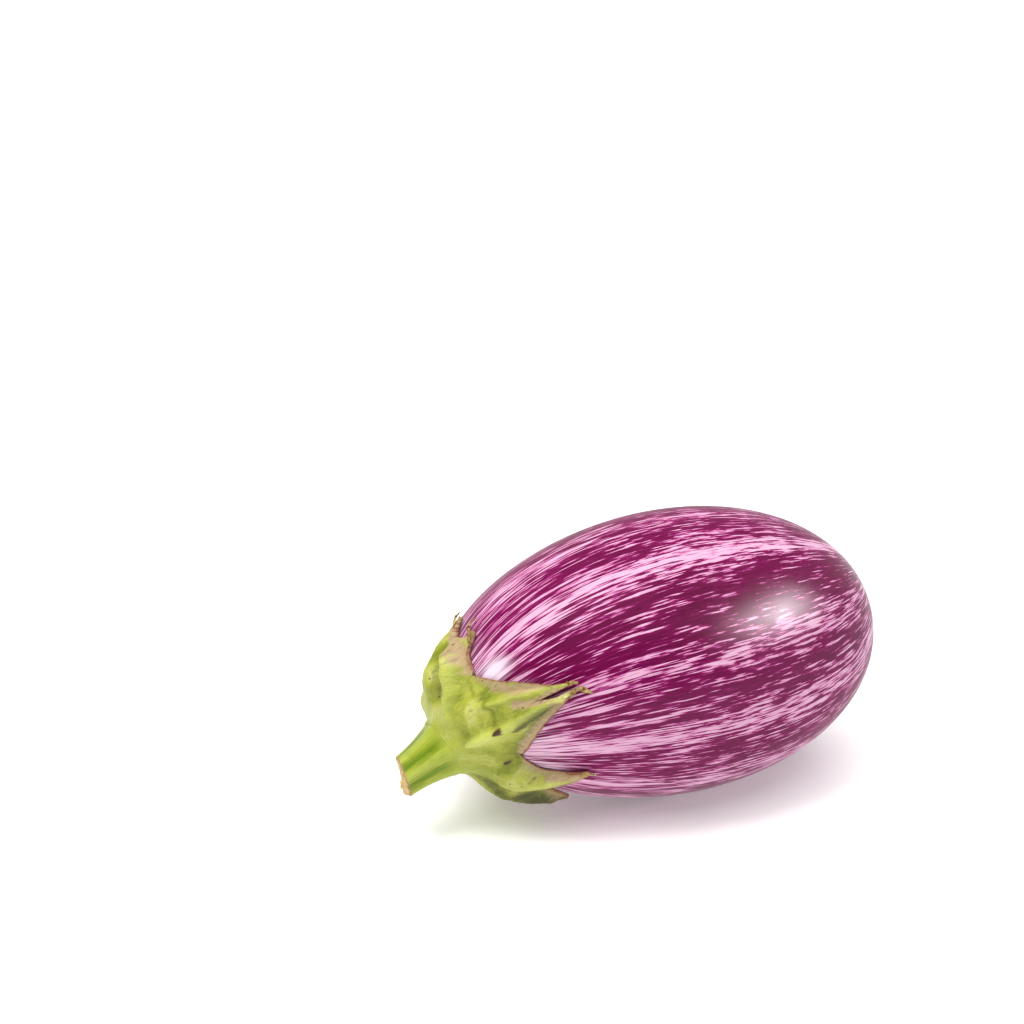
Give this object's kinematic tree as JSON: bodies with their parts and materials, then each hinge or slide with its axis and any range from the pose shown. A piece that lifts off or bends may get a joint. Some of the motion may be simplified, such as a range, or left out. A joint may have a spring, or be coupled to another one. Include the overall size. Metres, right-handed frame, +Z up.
{
  "type": "eggplant",
  "caption": "Plump striped purple and white eggplant lying on its side, with a fleshy green star-shaped calyx and a short cut stem.",
  "frame": {"origin": "middle of the small flat spot that the fruit rests on", "axes": "+Z up, +X along the fruit to its blossom end, the stem towards -X"},
  "size_m": [0.1412, 0.0777, 0.0777],
  "materials": {
    "skin": "glossy smooth skin, purple streaks over a pale pink ground, all running from the stem to the blossom end",
    "calyx": "satin yellow-green, fleshy, with tan margins and brown specks",
    "stem": "satin bright green with paler ridges, tan at the cut"
  },
  "bodies": {
    "root": {"fruit": "skin", "calyx": "calyx", "stem": "stem"}
  },
  "joints": []
}
